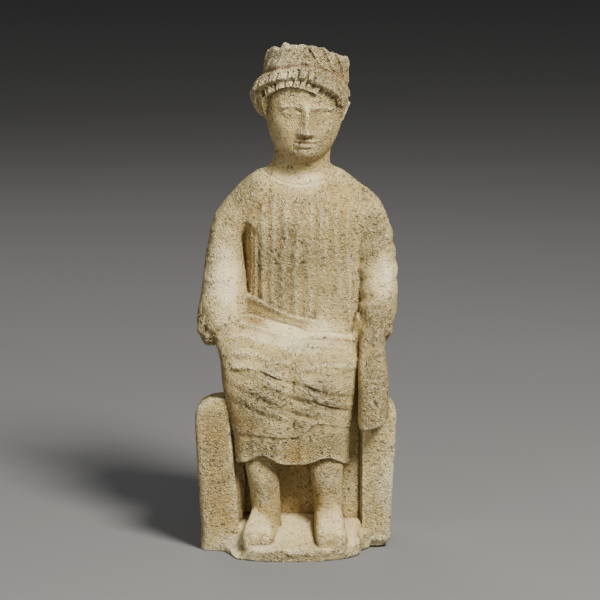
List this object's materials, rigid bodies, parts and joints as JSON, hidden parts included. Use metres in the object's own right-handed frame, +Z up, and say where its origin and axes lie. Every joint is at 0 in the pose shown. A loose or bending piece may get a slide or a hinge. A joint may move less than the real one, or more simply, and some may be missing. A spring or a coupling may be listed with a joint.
{
  "type": "seated votary statuette",
  "caption": "Seated, wreathed figure in pleated tunic and draped mantle on a block throne, carved in one from limestone, one forearm broken off.",
  "frame": {"origin": "on the underside, below the middle of the block throne; the surface that the statuette stands on is z = 0", "axes": "+Z up, the figure faces -Y, +X to the viewer's right"},
  "size_m": [0.1335, 0.099, 0.3353],
  "materials": {
    "limestone": "matt, weathered and pitted, with traces of pink paint on the wreath"
  },
  "bodies": {
    "root": {"seated_votary": "limestone"}
  },
  "joints": []
}
